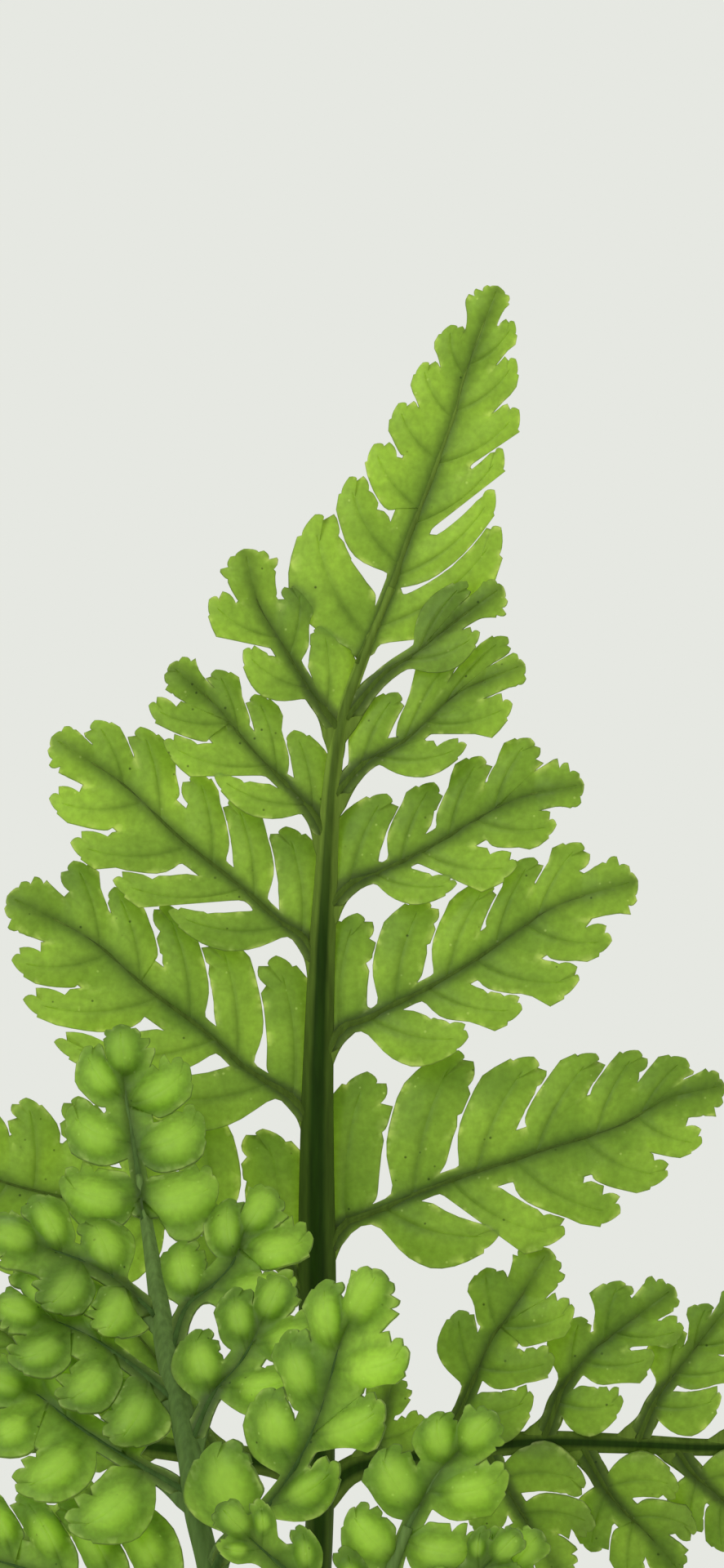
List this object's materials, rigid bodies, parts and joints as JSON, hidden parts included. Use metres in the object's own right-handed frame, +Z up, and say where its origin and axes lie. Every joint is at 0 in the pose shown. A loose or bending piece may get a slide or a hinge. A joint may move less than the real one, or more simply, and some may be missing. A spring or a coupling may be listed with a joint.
{
  "type": "bears foot fern",
  "caption": "Small fern plant lifted whole: finely cut leathery fronds standing on a creeping, scaly, branched rhizome with short roots.",
  "frame": {"origin": "flat spot under the middle of the rhizome, on the surface that the plant rests on", "axes": "+Z up along the fronds, +X to the right and +Y to the back as the fronds are seen from the front"},
  "size_m": [0.078, 0.0777, 0.1346],
  "materials": {
    "rhizome_scales": "papery brown to silvery scales",
    "frond_green": "leathery leaf, satin",
    "fertile_green": "leathery leaf, satin"
  },
  "bodies": {
    "root": {"rhizome": "rhizome_scales", "frond_tall": "frond_green", "frond_left": "fertile_green", "frond_near": "fertile_green"}
  },
  "joints": []
}
